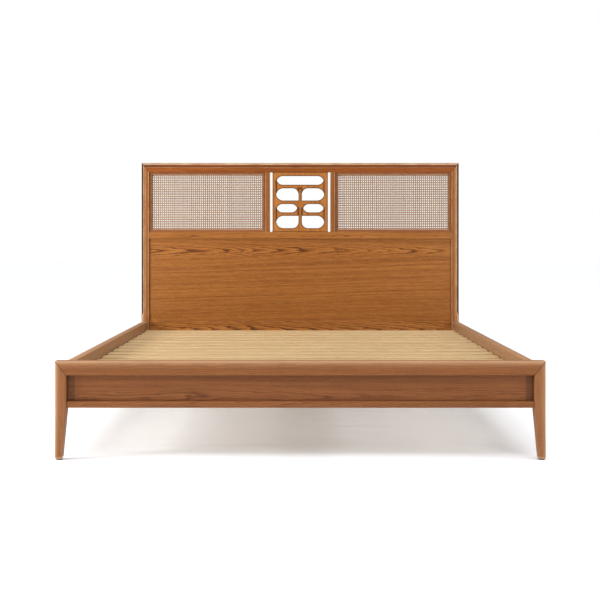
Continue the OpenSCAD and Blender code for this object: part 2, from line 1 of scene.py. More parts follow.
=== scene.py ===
import math
import bmesh
import bpy
import numpy as np
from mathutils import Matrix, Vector


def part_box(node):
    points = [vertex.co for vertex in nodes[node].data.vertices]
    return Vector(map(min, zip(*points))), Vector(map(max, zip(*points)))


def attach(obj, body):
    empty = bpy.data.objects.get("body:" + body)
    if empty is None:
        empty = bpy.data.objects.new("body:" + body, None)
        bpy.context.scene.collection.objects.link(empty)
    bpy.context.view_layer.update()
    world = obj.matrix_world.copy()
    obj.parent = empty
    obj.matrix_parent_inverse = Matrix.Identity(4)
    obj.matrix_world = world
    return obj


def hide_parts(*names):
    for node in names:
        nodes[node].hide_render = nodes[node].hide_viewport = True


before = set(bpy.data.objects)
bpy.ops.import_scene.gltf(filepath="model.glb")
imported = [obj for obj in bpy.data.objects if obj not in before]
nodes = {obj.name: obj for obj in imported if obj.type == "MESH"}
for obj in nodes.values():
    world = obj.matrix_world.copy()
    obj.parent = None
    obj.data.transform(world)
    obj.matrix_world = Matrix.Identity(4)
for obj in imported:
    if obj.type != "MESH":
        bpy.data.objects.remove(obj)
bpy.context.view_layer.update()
mm = 0.001
rng = np.random.default_rng(41)
print("stage: frame loaded,", len(nodes), "nodes")


# Signed volume of a mesh is the sum over its triangles of the determinant of their corners over six;
# it is negative when the faces point inwards
def pointsInwards(points, quads):
    a, b, c, d = (points[quads[:, k]] for k in range(4))
    volume = (np.einsum("ij,ij->i", a, np.cross(b, c)).sum()
              + np.einsum("ij,ij->i", a, np.cross(c, d)).sum())
    return volume < 0


# A mesh from whole arrays: points (n, 3), four-cornered faces (q, 4) and a few many-cornered caps,
# with each named attribute stored on the points
def meshOf(name, points, quads, caps=(), attributes=None, smoothAngle=math.radians(32)):
    mesh = bpy.data.meshes.new(name)
    caps = [np.asarray(cap) for cap in caps]
    corners = np.concatenate([quads.ravel(), *caps]) if caps else quads.ravel()
    sizes = np.concatenate([np.full(len(quads), 4), [len(cap) for cap in caps]]).astype(np.int32)
    starts = np.concatenate([[0], np.cumsum(sizes)[:-1]]).astype(np.int32)
    mesh.vertices.add(len(points))
    mesh.vertices.foreach_set("co", points.astype(np.float32).ravel())
    mesh.loops.add(len(corners))
    mesh.loops.foreach_set("vertex_index", corners.astype(np.int32))
    mesh.polygons.add(len(sizes))
    mesh.polygons.foreach_set("loop_start", starts)
    mesh.update(calc_edges=True)
    for key, values in (attributes or {}).items():
        stored = mesh.attributes.new(key, "FLOAT_VECTOR", "POINT")
        stored.data.foreach_set("vector", values.astype(np.float32).ravel())
    mesh.polygons.foreach_set("use_smooth", np.ones(len(sizes), bool))
    mesh.set_sharp_from_angle(angle=smoothAngle)
    return mesh


# Rings (n, m, 3) joined one to the next by four-cornered faces, closed round each ring; the ends are
# capped, or joined to each other where the path is a loop
def skinRings(name, rings, attributes, loop=False):
    n, m = rings.shape[:2]
    index = np.arange(n * m).reshape(n, m)
    here, there = (index, np.roll(index, -1, 0)) if loop else (index[:-1], index[1:])
    quads = np.stack([here, np.roll(here, -1, 1), np.roll(there, -1, 1), there], -1).reshape(-1, 4)
    points = rings.reshape(-1, 3)
    caps = [] if loop else [index[0][::-1], index[-1]]
    if pointsInwards(points, quads):
        quads, caps = quads[:, ::-1], [cap[::-1] for cap in caps]
    return meshOf(name, points, quads, caps, {k: v.reshape(-1, 3) for k, v in attributes.items()})


# The object for a mesh, riding on a body, with its finish and what it stands for
def addPiece(mesh, finish, body, replaced):
    piece = bpy.data.objects.new(mesh.name, mesh)
    bpy.context.scene.collection.objects.link(piece)
    mesh.materials.clear()
    mesh.materials.append(finish)
    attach(piece, body)
    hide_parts(*replaced)
    return piece


# Each corner of an outline becomes a parabola between two points set back by its ease, with one more
# point a little further along each side. The second result is 1 on the parabola and 0 beside it.
def easedSection(corners, ease, steps=4, beside=2.2 * mm):
    corners = np.asarray(corners, float)
    ease = np.broadcast_to(np.asarray(ease, float), len(corners))
    before, after = np.roll(corners, 1, 0) - corners, np.roll(corners, -1, 0) - corners
    lengthBefore, lengthAfter = np.linalg.norm(before, axis=1), np.linalg.norm(after, axis=1)
    before, after = before / lengthBefore[:, None], after / lengthAfter[:, None]
    spareBefore, spareAfter = lengthBefore - ease - np.roll(ease, 1), lengthAfter - ease - np.roll(ease, -1)
    besideBefore, besideAfter = np.minimum(beside, 0.4 * spareBefore), np.minimum(beside, 0.4 * spareAfter)
    t = np.linspace(0, 1, steps)[None, :, None]
    start, end = corners + before * ease[:, None], corners + after * ease[:, None]
    curve = (1 - t) ** 2 * start[:, None] + 2 * t * (1 - t) * corners[:, None] + t**2 * end[:, None]
    first = corners + before * (ease + besideBefore)[:, None]
    last = corners + after * (ease + besideAfter)[:, None]
    points = np.concatenate([first[:, None], curve, last[:, None]], 1)
    edge = np.ones(points.shape[:2])
    edge[:, [0, -1]] = 0
    return points.reshape(-1, 2), edge.ravel()


# Place in the tree: distance along the grain, then two distances from the tree's heart, whose place
# is given across the board and through it
def grainOf(points, along, across, heart):
    through = 3 - along - across
    centre = (points.reshape(-1, 3).max(0) + points.reshape(-1, 3).min(0)) / 2
    grain = np.stack([points[..., along] + rng.uniform(3, 40),
                      points[..., across] - centre[across] - heart[0],
                      points[..., through] - centre[through] - heart[1]], -1)
    return grain


# A straight board between two corners, along one axis: a rounded rectangle carried along, drawn in
# over the last few millimetres of each end
def plank(name, low, high, along, across, ease=1.2 * mm, heart=(0.0, -0.06), beside=2.2 * mm, seamEnds=0.0,
          paintedEndShadow=(23 * mm, 0.0), wear=1.0):
    low, high = np.array(low, float), np.array(high, float)
    a, b = [k for k in range(3) if k != along]
    section, edge = easedSection([(low[a], low[b]), (high[a], low[b]), (high[a], high[b]), (low[a], high[b])],
                                 ease, beside=beside)
    # A band at each end, 23 mm by default, can carry painted shadow cast by the uprights onto a recessed board.
    endShadowWidth, endShadowStrength = paintedEndShadow
    inset = np.array([ease + beside, ease, 0.3 * ease, 0, 0, 0, 0])
    offset = np.array([0, 0, 0.3 * ease, ease, ease + beside, endShadowWidth, endShadowWidth + 4 * mm])
    worn = np.array([0, 1.0, 1, 1, 0, 0, 0])
    endShadowMarks = endShadowStrength * np.array([1, 1, 1, 1, 1, 1, 0])
    stations = np.concatenate([low[along] + offset, high[along] - offset[::-1]])
    insets, worn, endShadowMarks = (np.concatenate([part, part[::-1]]) for part in (inset, worn, endShadowMarks))
    middle = np.array([(low[a] + high[a]) / 2, (low[b] + high[b]) / 2])
    size = np.array([high[a] - low[a], high[b] - low[b]])
    rings = np.empty((len(stations), len(section), 3))
    shrink = 1 - 2 * insets[:, None, None] / size
    placed = middle + (section - middle) * shrink
    rings[..., a], rings[..., b] = placed[..., 0], placed[..., 1]
    rings[..., along] = stations[:, None]
    marks = np.zeros(rings.shape)
    marks[..., 0] = wear * np.maximum(worn[:, None], edge)
    marks[..., 1] = seamEnds * (worn[:, None] > 0)
    marks[..., 2] = endShadowMarks[:, None]
    return skinRings(name, rings, {"grain": grainOf(rings, along, across, heart), "marks": marks})


# One node: settings as given, inputs as numbers or as another node's output
def addNode(tree, kind, inputs=None, **settings):
    made = tree.nodes.new(kind)
    for key, value in settings.items():
        setattr(made, key, value)
    for key, value in (inputs or {}).items():
        if isinstance(value, bpy.types.NodeSocket):
            tree.links.new(value, made.inputs[key])
        else:
            made.inputs[key].default_value = value
    return made


# One sum on one or more values, each a number or another node's output
def maths(tree, operation, a, b=0.0, c=0.0, clamp=False):
    return addNode(tree, "ShaderNodeMath", {0: a, 1: b, 2: c}, operation=operation, use_clamp=clamp).outputs[0]


# A vector stored on the points of the mesh
def storedVector(tree, name):
    made = addNode(tree, "ShaderNodeAttribute", attribute_name=name, attribute_type="GEOMETRY")
    return made.outputs["Vector"]


# Noise read on a stretched copy of the coordinates, about 0 to 1
def stretchedNoise(tree, vector, scale, detail=2.0, roughness=0.5, offset=(0, 0, 0), output="Fac"):
    mapped = addNode(tree, "ShaderNodeMapping", {"Vector": vector, "Scale": scale, "Location": offset})
    return addNode(tree, "ShaderNodeTexNoise", {"Vector": mapped.outputs[0], "Scale": 1.0, "Detail": detail,
                                                "Roughness": roughness}).outputs[output]


# A colour or grey read from stops, each a place from 0 to 1 and its value, with straight lines between
def ramp(tree, factor, stops, smooth="LINEAR"):
    made = addNode(tree, "ShaderNodeValToRGB", {"Fac": factor})
    made.color_ramp.interpolation = smooth
    elements = made.color_ramp.elements
    while len(elements) < len(stops):
        elements.new(0.5)
    for element, (place, colour) in zip(elements, stops):
        element.position = place
        element.color = (*colour, 1) if isinstance(colour, tuple) else (colour, colour, colour, 1)
    return made.outputs[0]


# Two colours mixed: a times one less the factor, plus b times the factor
def mixColour(tree, factor, a, b, blend="MIX"):
    made = addNode(tree, "ShaderNodeMix", data_type="RGBA", blend_type=blend, clamp_factor=True)
    for key, value in (("Factor", factor), ("A", a), ("B", b)):
        socket = next(s for s in made.inputs
                      if s.name == key and (key == "Factor" and s.type == "VALUE" or s.type == "RGBA"))
        if isinstance(value, bpy.types.NodeSocket):
            tree.links.new(value, socket)
        else:
            socket.default_value = value if isinstance(value, float) else (*value, 1)
    return next(s for s in made.outputs if s.type == "RGBA")


# The linear value of a colour given as 0 to 255 for each channel
def shade(red, green, blue):
    c = np.array([red, green, blue]) / 255
    return tuple(float(v) for v in np.where(c <= 0.04045, c / 12.92, ((c + 0.055) / 1.055) ** 2.4))


# An empty material with one surface shader joined to its output
def startMaterial(name):
    material = bpy.data.materials.new(name)
    material.use_nodes = True
    tree = material.node_tree
    tree.nodes.clear()
    output = addNode(tree, "ShaderNodeOutputMaterial")
    shader = addNode(tree, "ShaderNodeBsdfPrincipled")
    tree.links.new(shader.outputs[0], output.inputs[0])
    return material, tree, shader


# The worn colour serves both real wear on edges and painted highlights; the near-black last colour is painted shade.
woodDefaults = {
    "light": shade(190, 126, 70), "middle": shade(165, 101, 52), "dark": shade(112, 62, 28),
    "pore": shade(72, 38, 18), "worn": shade(214, 160, 108), "paintedShade": shade(46, 28, 19),
    "ring": 6.0 * mm, "ringDepth": 0.55, "streak": 0.25, "fleck": 0.42, "blotch": 0.22, "lift": 0.18,
    "warp": 16 * mm, "shiver": 1.6 * mm, "taper": 0.012, "pores": 0.55, "wear": 0.35, "patchy": 0.65,
    "depth": 0.68, "roughness": 0.42, "coat": 0.0, "specular": 0.2, "bump": 0.35,
}


# Stained timber. Growth rings are steps in the distance from the tree's heart, which wanders and
# tapers along the grain; each ring starts dark and fades. Long streaks, patches and short pores lie
# along the grain. Marks lighten worn edges and paint highlights, darken seams, and paint shade on bands, beside edges
# and beside projecting parts.
def woodFinish(name, **changes):
    s = {**woodDefaults, **changes}
    for key in ("light", "middle", "dark", "pore", "worn"):
        s[key] = tuple(s["depth"] * c for c in s[key])
    material, tree, shader = startMaterial(name)
    grain = storedVector(tree, "grain")
    marks = storedVector(tree, "marks")
    wander = stretchedNoise(tree, grain, (1.5, 6, 6), detail=3, output="Color")
    centred = addNode(tree, "ShaderNodeVectorMath", {0: wander, 1: (0.5, 0.5, 0.5)}, operation="SUBTRACT").outputs[0]
    moved = addNode(tree, "ShaderNodeVectorMath", {0: centred, 1: (0, 2 * s["warp"], 2 * s["warp"]), 2: grain},
                    operation="MULTIPLY_ADD").outputs[0]
    shiver = stretchedNoise(tree, grain, (16, 110, 110), detail=3, roughness=0.6, output="Color")
    centred = addNode(tree, "ShaderNodeVectorMath", {0: shiver, 1: (0.5, 0.5, 0.5)}, operation="SUBTRACT").outputs[0]
    moved = addNode(tree, "ShaderNodeVectorMath", {0: centred, 1: (0, 2 * s["shiver"], 2 * s["shiver"]), 2: moved},
                    operation="MULTIPLY_ADD").outputs[0]
    split = addNode(tree, "ShaderNodeSeparateXYZ", {0: moved})
    radius = maths(tree, "SQRT", maths(tree, "ADD", maths(tree, "POWER", split.outputs[1], 2.0),
                                       maths(tree, "POWER", split.outputs[2], 2.0)))
    phase = maths(tree, "DIVIDE", maths(tree, "MULTIPLY_ADD", split.outputs[0], s["taper"], radius), s["ring"])
    ringPart = maths(tree, "FRACT", phase)
    ringProfile = ramp(tree, ringPart, [(0.0, 1.0), (0.12, 0.9), (0.34, 0.3), (0.7, 0.04), (0.93, 0.0), (1.0, 1.0)])
    ringNumber = addNode(tree, "ShaderNodeTexWhiteNoise", {"W": maths(tree, "FLOOR", phase)}, noise_dimensions="1D")
    ringWeight = maths(tree, "MULTIPLY_ADD", ringNumber.outputs["Value"], 0.7, 0.3)
    rings = maths(tree, "MULTIPLY", ringProfile, ringWeight)
    streaks = stretchedNoise(tree, grain, (2.6, 150, 150), detail=3, roughness=0.6, offset=(5, 1, 2))
    patches = stretchedNoise(tree, grain, (1.3, 9, 9), detail=2, offset=(9, 4, 3))
    flecks = stretchedNoise(tree, grain, (22, 330, 330), detail=3, roughness=0.65, offset=(4, 8, 6))
    tone = maths(tree, "MULTIPLY_ADD", rings, s["ringDepth"], s["lift"])
    tone = maths(tree, "MULTIPLY_ADD", maths(tree, "SUBTRACT", flecks, 0.5), 2 * s["fleck"], tone)
    tone = maths(tree, "MULTIPLY_ADD", maths(tree, "SUBTRACT", streaks, 0.5), 2 * s["streak"], tone)
    tone = maths(tree, "MULTIPLY_ADD", maths(tree, "SUBTRACT", patches, 0.5), 2 * s["blotch"], tone, clamp=True)
    colour = ramp(tree, tone, [(0.0, s["light"]), (0.35, s["middle"]), (1.0, s["dark"])])
    poreNoise = stretchedNoise(tree, grain, (90, 1500, 1500), detail=1, offset=(2, 7, 5))
    poreMask = maths(tree, "MULTIPLY", ramp(tree, poreNoise, [(0.55, 0.0), (0.68, 1.0)]),
                     maths(tree, "MULTIPLY_ADD", ringProfile, 0.75, 0.25))
    colour = mixColour(tree, maths(tree, "MULTIPLY", poreMask, s["pores"]), colour, s["pore"])
    mark = addNode(tree, "ShaderNodeSeparateXYZ", {0: marks})
    patchy = ramp(tree, stretchedNoise(tree, grain, (14, 60, 60), detail=2), [(0.3, 1 - s["patchy"]), (0.65, 1.0)])
    # The first mark lightens towards the worn colour: real wear on edges, and painted highlights on the headboard's
    # ridge and top bevel and across the footboard's front from its outer edge.
    colour = mixColour(tree, maths(tree, "MULTIPLY", maths(tree, "MULTIPLY", mark.outputs[0], patchy), s["wear"]),
                       colour, s["worn"])
    # The third mark paints shade in near-black: the headboard posts' outer bevel and the foot panel's ends beside the
    # legs.
    colour = mixColour(tree, mark.outputs[2], colour, s["paintedShade"])
    # The second mark darkens real joints and mitres, and paints shade on the stiles' slot faces, the top rail's band,
    # the beads' vertical strips and round the fretwork's openings.
    colour = mixColour(tree, maths(tree, "MULTIPLY", mark.outputs[1], 0.8), colour, s["pore"])
    tree.links.new(colour, shader.inputs["Base Color"])
    rough = maths(tree, "MULTIPLY_ADD", streaks, 0.16, s["roughness"] - 0.08)
    rough = maths(tree, "MULTIPLY_ADD", poreMask, 0.25, rough)
    rough = maths(tree, "MULTIPLY_ADD", mark.outputs[0], -0.06, rough)
    tree.links.new(rough, shader.inputs["Roughness"])
    height = maths(tree, "MULTIPLY_ADD", poreMask, -0.7, maths(tree, "MULTIPLY_ADD", ringProfile, -0.2, streaks))
    bump = addNode(tree, "ShaderNodeBump", {"Strength": s["bump"], "Distance": 0.25 * mm, "Height": height})
    tree.links.new(bump.outputs[0], shader.inputs["Normal"])
    shader.inputs["Coat Weight"].default_value = s["coat"]
    shader.inputs["Coat Roughness"].default_value = 0.28
    shader.inputs["Specular IOR Level"].default_value = s["specular"]
    return material


# Metal with a fine uneven sheen
def metalFinish(name, base, roughness, grainScale=220.0):
    material, tree, shader = startMaterial(name)
    place = addNode(tree, "ShaderNodeTexCoord").outputs["Object"]
    cloud = stretchedNoise(tree, place, (grainScale,) * 3, detail=3)
    spots = stretchedNoise(tree, place, (grainScale * 8,) * 3, detail=1, offset=(3, 3, 3))
    darker = tuple(c * 0.72 for c in base)
    tree.links.new(ramp(tree, cloud, [(0.3, darker), (0.7, base)]), shader.inputs["Base Color"])
    tree.links.new(maths(tree, "MULTIPLY_ADD", cloud, 0.22, roughness - 0.11), shader.inputs["Roughness"])
    bump = addNode(tree, "ShaderNodeBump", {"Strength": 0.2, "Distance": 0.1 * mm, "Height": spots})
    tree.links.new(bump.outputs[0], shader.inputs["Normal"])
    shader.inputs["Metallic"].default_value = 1.0
    return material


# Moulded plastic with a fine spark-eroded surface
def plasticFinish(name, base):
    material, tree, shader = startMaterial(name)
    place = addNode(tree, "ShaderNodeTexCoord").outputs["Object"]
    fine = stretchedNoise(tree, place, (1800,) * 3, detail=1)
    broad = stretchedNoise(tree, place, (60,) * 3, detail=2)
    tree.links.new(ramp(tree, broad, [(0.3, base), (0.75, tuple(c * 1.9 + 0.004 for c in base))]),
                   shader.inputs["Base Color"])
    tree.links.new(maths(tree, "MULTIPLY_ADD", fine, 0.2, 0.42), shader.inputs["Roughness"])
    bump = addNode(tree, "ShaderNodeBump", {"Strength": 0.25, "Distance": 0.1 * mm, "Height": fine})
    tree.links.new(bump.outputs[0], shader.inputs["Normal"])
    return material


# Split cane: pale bark-side strips, each a little different, with fine lines along the strip. The
# strand attribute holds the distance along, the place across from -1 to 1, and the strip's number.
def caneFinish(name):
    s = {"light": shade(167, 136, 105), "dark": shade(117, 84, 58), "edge": shade(82, 55, 36)}
    material, tree, shader = startMaterial(name)
    strand = storedVector(tree, "strand")
    split = addNode(tree, "ShaderNodeSeparateXYZ", {0: strand})
    long = stretchedNoise(tree, strand, (22, 1.4, 7.3), detail=3)
    each = addNode(tree, "ShaderNodeTexWhiteNoise", {"W": maths(tree, "ROUND", split.outputs[2])},
                   noise_dimensions="1D")
    fibre = stretchedNoise(tree, strand, (30, 9, 3.1), detail=2, offset=(1, 2, 3))
    tone = maths(tree, "MULTIPLY_ADD", each.outputs["Value"], 0.4, maths(tree, "MULTIPLY", long, 0.9), clamp=True)
    colour = ramp(tree, tone, [(0.15, s["dark"]), (0.85, s["light"])])
    rim = ramp(tree, maths(tree, "ABSOLUTE", split.outputs[1]), [(0.55, 0.0), (1.0, 0.6)])
    colour = mixColour(tree, rim, colour, s["edge"])
    colour = mixColour(tree, maths(tree, "MULTIPLY", fibre, 0.35), colour, s["dark"])
    tree.links.new(colour, shader.inputs["Base Color"])
    tree.links.new(maths(tree, "MULTIPLY_ADD", fibre, 0.25, 0.38), shader.inputs["Roughness"])
    bump = addNode(tree, "ShaderNodeBump", {"Strength": 0.3, "Distance": 0.1 * mm, "Height": fibre})
    tree.links.new(bump.outputs[0], shader.inputs["Normal"])
    return material


headTones = {"light": shade(180, 116, 56), "middle": shade(156, 91, 38), "dark": shade(98, 48, 16)}
# The foot's worn colour also paints the highlight falling off from the outer edge of the foot rail.
footTones = {"light": shade(170, 108, 60), "middle": shade(149, 90, 47), "dark": shade(98, 55, 30),
             "worn": shade(226, 184, 142), "wear": 0.62, "patchy": 0.15}
finishes = {
    # The top rail's worn colour also paints the highlight on its top bevel, and the posts' worn colour the highlight
    # on their ridge.
    "topRail": woodFinish("oakTopRail", light=shade(178, 98, 32), middle=shade(153, 79, 22), dark=shade(86, 38, 9),
                          worn=shade(228, 208, 172), wear=0.65, ringDepth=0.5, ring=3 * mm, streak=0.5),
    "post": woodFinish("oakPost", **headTones, ringDepth=0.4, ring=3 * mm, wear=0.85, worn=shade(230, 184, 138)),
    "midRail": woodFinish("oakMidRail", light=shade(197, 130, 64), middle=shade(172, 105, 44), dark=shade(106, 54, 19),
                          ringDepth=0.6, ring=3 * mm, taper=0.014, streak=0.45),
    "board": woodFinish("oakBoard", light=shade(204, 136, 68), middle=shade(176, 108, 46), dark=shade(108, 56, 20),
                        ringDepth=1.2, ring=3.6 * mm, taper=0.03, warp=10 * mm, shiver=2.2 * mm, streak=0.2,
                        blotch=0.12),
    "fretwork": woodFinish("oakFretwork", light=shade(216, 144, 68), middle=shade(192, 118, 50),
                           dark=shade(120, 62, 22), ringDepth=0.4, ring=3 * mm),
    "bead": woodFinish("oakBead", light=shade(182, 118, 72), middle=shade(156, 92, 52), dark=shade(104, 56, 32),
                       ringDepth=0.35, ring=3 * mm),
    "footRail": woodFinish("oakFootRail", **footTones, ringDepth=0.35, ring=3 * mm, streak=0.3, fleck=0.32),
    "footSill": woodFinish("oakFootSill", light=shade(167, 106, 58), middle=shade(147, 89, 46), dark=shade(94, 52, 27),
                           ringDepth=0.7, ring=3.5 * mm, taper=0.05, streak=0.3),
    "footPanel": woodFinish("oakFootPanel", light=shade(167, 105, 58), middle=shade(148, 88, 46),
                            dark=shade(94, 51, 27), ringDepth=0.6, ring=2.6 * mm, taper=0.012, streak=0.28,
                            fleck=0.32),
    # The leg's worn colour also paints the highlight falling off from the legs' outer edge.
    "leg": woodFinish("oakLeg", light=shade(172, 113, 69), middle=shade(151, 95, 53), dark=shade(106, 60, 34),
                      ringDepth=0.35, ring=3 * mm, fleck=0.3, worn=shade(226, 184, 142), wear=0.5, patchy=0.15),
    "sideRail": woodFinish("oakSideRail", **footTones, ringDepth=0.6, ring=3.5 * mm, taper=0.016),
    "pale": woodFinish("paleTimber", light=shade(226, 196, 150), middle=shade(212, 176, 126),
                       dark=shade(176, 132, 84), pore=shade(140, 96, 56), worn=shade(236, 212, 170),
                       ringDepth=0.5, ring=5 * mm, pores=0.25, roughness=0.55, coat=0.0),
    "cane": caneFinish("splitCane"),
    "steel": metalFinish("zincPlatedSteel", (0.62, 0.63, 0.65), 0.38),
    "brass": metalFinish("brass", (0.75, 0.56, 0.26), 0.32),
    "plastic": plasticFinish("blackPlastic", (0.018, 0.018, 0.019)),
}
print("stage: finishes made,", len(finishes))


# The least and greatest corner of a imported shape
def boxOf(name):
    low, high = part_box(name)
    return np.array(low), np.array(high)


postLow, postHigh = boxOf("head_post_right")
legLow, legHigh = boxOf("foot_leg_right")
topLow, topHigh = boxOf("head_top_rail")
midLow, midHigh = boxOf("head_mid_rail")
lowRailLow, lowRailHigh = boxOf("head_bottom_rail")
boardLow, boardHigh = boxOf("head_board")
footRailLow, footRailHigh = boxOf("foot_top_rail")
sillLow, sillHigh = boxOf("foot_bottom_rail")
panelLow, panelHigh = boxOf("foot_panel")
postWidth, postDepth = postHigh[0] - postLow[0], postHigh[1] - postLow[1]
insideX = postLow[0]
# On the headboard the posts' ridge and the rail's top bevel carry painted highlights, and the posts' outer bevel and
# the rail's band carry painted shade; on the footboard a painted highlight falls off across the front from the outer
# edge.
headMoulding = {
    "front": np.array([(0, 7), (8.5, 0), (18.5, 3)]) * mm, "ease": [0.8, 1.6, 0.5],
    "square": np.array([(0, 1.5), (1.5, 0), (18.5, 0)]) * mm, "runOutFrom": 330 * mm, "runOut": 26 * mm,
    "ridge": 1, "ridgeHighlight": 0.95, "bevelPaintedShade": 1.0, "railBevelHighlight": 0.9, "railBandPaintedShade": 0.45, "outerHighlight": 0.0,
}
footMoulding = {
    "front": np.array([(0, 6.5), (2.6, 2.4), (8.5, 0.2), (23.5, 1)]) * mm, "ease": [0.8, 2.2, 2.8, 0.8],
    "ridge": 2, "ridgeHighlight": 0.0, "bevelPaintedShade": 0.0, "railBevelHighlight": 0.0, "railBandPaintedShade": 0.0, "outerHighlight": 0.8,
}
outerHighlightWidth = 19 * mm
restEase = [0.6, 0.6, 1.5, 1.5]
legShape = {"taperFrom": 170 * mm, "footWidth": 23 * mm, "footDepth": 34 * mm, "footRound": 5 * mm}
mitreLine = {"groove": 0.5 * mm, "width": 0.8 * mm, "dark": 2.0 * mm}


# Corners of a section: the front outline from the outer edge inwards, a small arris, then round the
# back. The outline's widths grow with the member, and its depths don't.
def memberCorners(width, depth, front, arris=1.5 * mm):
    front = front * (width / postWidth, 1)
    inner = front[-1, 1]
    return np.array([*front, (width - arris, inner), (width, inner + arris), (width, depth), (0, depth)])


# The eased outline of those corners. Wear is 1 on the eased edges; a painted highlight runs on past the ridge, and on
# the footboard a painted highlight falls off across the front from the outer edge.
def memberSection(corners, shape):
    section, edge = easedSection(corners, np.array(shape["ease"] + restEase) * mm)
    perCorner = len(section) // len(corners)
    # the point past the headboard's ridge takes a painted highlight
    edge[perCorner * shape["ridge"] + perCorner - 1] = shape["ridgeHighlight"]
    front = section[:, 1] < corners[-1, 1] / 2
    # on the footboard the front takes a painted highlight, strongest at the outer edge and falling off over 19 mm
    edge = np.where(front & (shape["outerHighlight"] > 0), shape["outerHighlight"] * np.clip(1 - section[:, 0] / outerHighlightWidth, 0, 1), edge)
    return section, edge


# A post or leg: the moulded section is carried up from the floor. Below the taper's start the inner
# side and one face draw in along straight lines, the foot rounds off as a quarter circle, and the top
# ends on the mitre, which falls from the outer corner to the inner one. On the headboard the moulding
# fades into a square section below the run-out.
def upright(name, low, high, side, shape, mitreDrop, taperFront):
    width, depth, top = high[0] - low[0], high[1] - low[1], high[2]
    moulded = memberCorners(width, depth, shape["front"])
    square = memberCorners(width, depth, shape.get("square", shape["front"]))
    r = legShape["footRound"]
    angle = np.linspace(0, np.pi / 2, 6)
    foot = low[2] + r * (1 - np.cos(angle))
    footInset = r * (1 - np.sin(angle))
    levels = np.concatenate([[low[2]], foot, np.linspace(low[2] + 2 * r, legShape["taperFrom"], 5)])
    insets = np.concatenate([[r + 3 * mm], footInset, np.zeros(5)])
    fades = [legShape["taperFrom"] + 4 * mm]
    if "runOut" in shape:
        fades += list(np.linspace(shape["runOutFrom"], shape["runOutFrom"] + shape["runOut"], 8))
    levels = np.concatenate([levels, fades])
    insets = np.concatenate([insets, np.zeros(len(fades))])
    if "runOut" in shape:
        t = np.clip((levels - shape["runOutFrom"]) / shape["runOut"], 0, 1)
        blend = t * t * (3 - 2 * t)
    else:
        blend = np.ones(len(levels))
    sections, edge = [], None
    for share in blend:
        section, edge = memberSection(square * (1 - share) + moulded * share, shape)
        sections.append(section)
    sections = np.array(sections)
    taper = np.clip((legShape["taperFrom"] - levels) / (legShape["taperFrom"] - low[2]), 0, 1)[:, None]
    w, d = sections[..., 0], sections[..., 1]
    w = w * (1 - taper * (1 - legShape["footWidth"] / width))
    narrow = depth - (depth - legShape["footDepth"]) * taper
    d = d * narrow / depth + (depth - narrow if taperFront else 0)
    wide = width - (width - legShape["footWidth"]) * taper
    w = wide / 2 + (w - wide / 2) * (1 - 2 * insets[:, None] / wide)
    middle = (narrow / 2 + (depth - narrow if taperFront else 0))
    d = middle + (d - middle) * (1 - 1.2 * insets[:, None] / narrow)
    z = np.repeat(levels[:, None], w.shape[1], 1)
    # the last rings follow the mitre: a plain one, one before the groove, and the groove's bottom
    full = sections[-1]
    fall = full[:, 0] * mitreDrop / width
    groove = mitreLine["groove"]
    centre = np.array([width / 2, depth / 2])
    drawn = centre + (full - centre) * (1 - 2 * groove / np.array([width, depth]))
    w = np.concatenate([w, full[None, :, 0], full[None, :, 0], drawn[None, :, 0]])
    d = np.concatenate([d, full[None, :, 1], full[None, :, 1], drawn[None, :, 1]])
    z = np.concatenate([z, (top - fall - mitreLine["dark"])[None], (top - fall - mitreLine["width"])[None],
                        (top - drawn[:, 0] * mitreDrop / width)[None]])
    outer = high[0] if side > 0 else low[0]
    rings = np.stack([outer - side * w, low[1] + d, z], -1)
    marks = np.zeros(rings.shape)
    marks[..., 0] = edge
    marks[1:7, :, 0] = 1
    marks[-1, :, 1] = 1
    marks[-2, :, 1] = 0.8
    if shape["bevelPaintedShade"]:
        # the outer bevel of the headboard's posts is painted near black: painted shade where it turns away from the
        # light
        onBevel = (full[:, 0] < shape["front"][1, 0] - 0.3 * mm) & (full[:, 1] < depth / 2)
        marks[:, onBevel, 2] = shape["bevelPaintedShade"]
        marks[:, onBevel, 0] = 0
        marks[:12, :, 2] = 0
    return skinRings(name, rings, {"grain": grainOf(rings, 2, 0, (0.14 * side, -0.05)), "marks": marks})


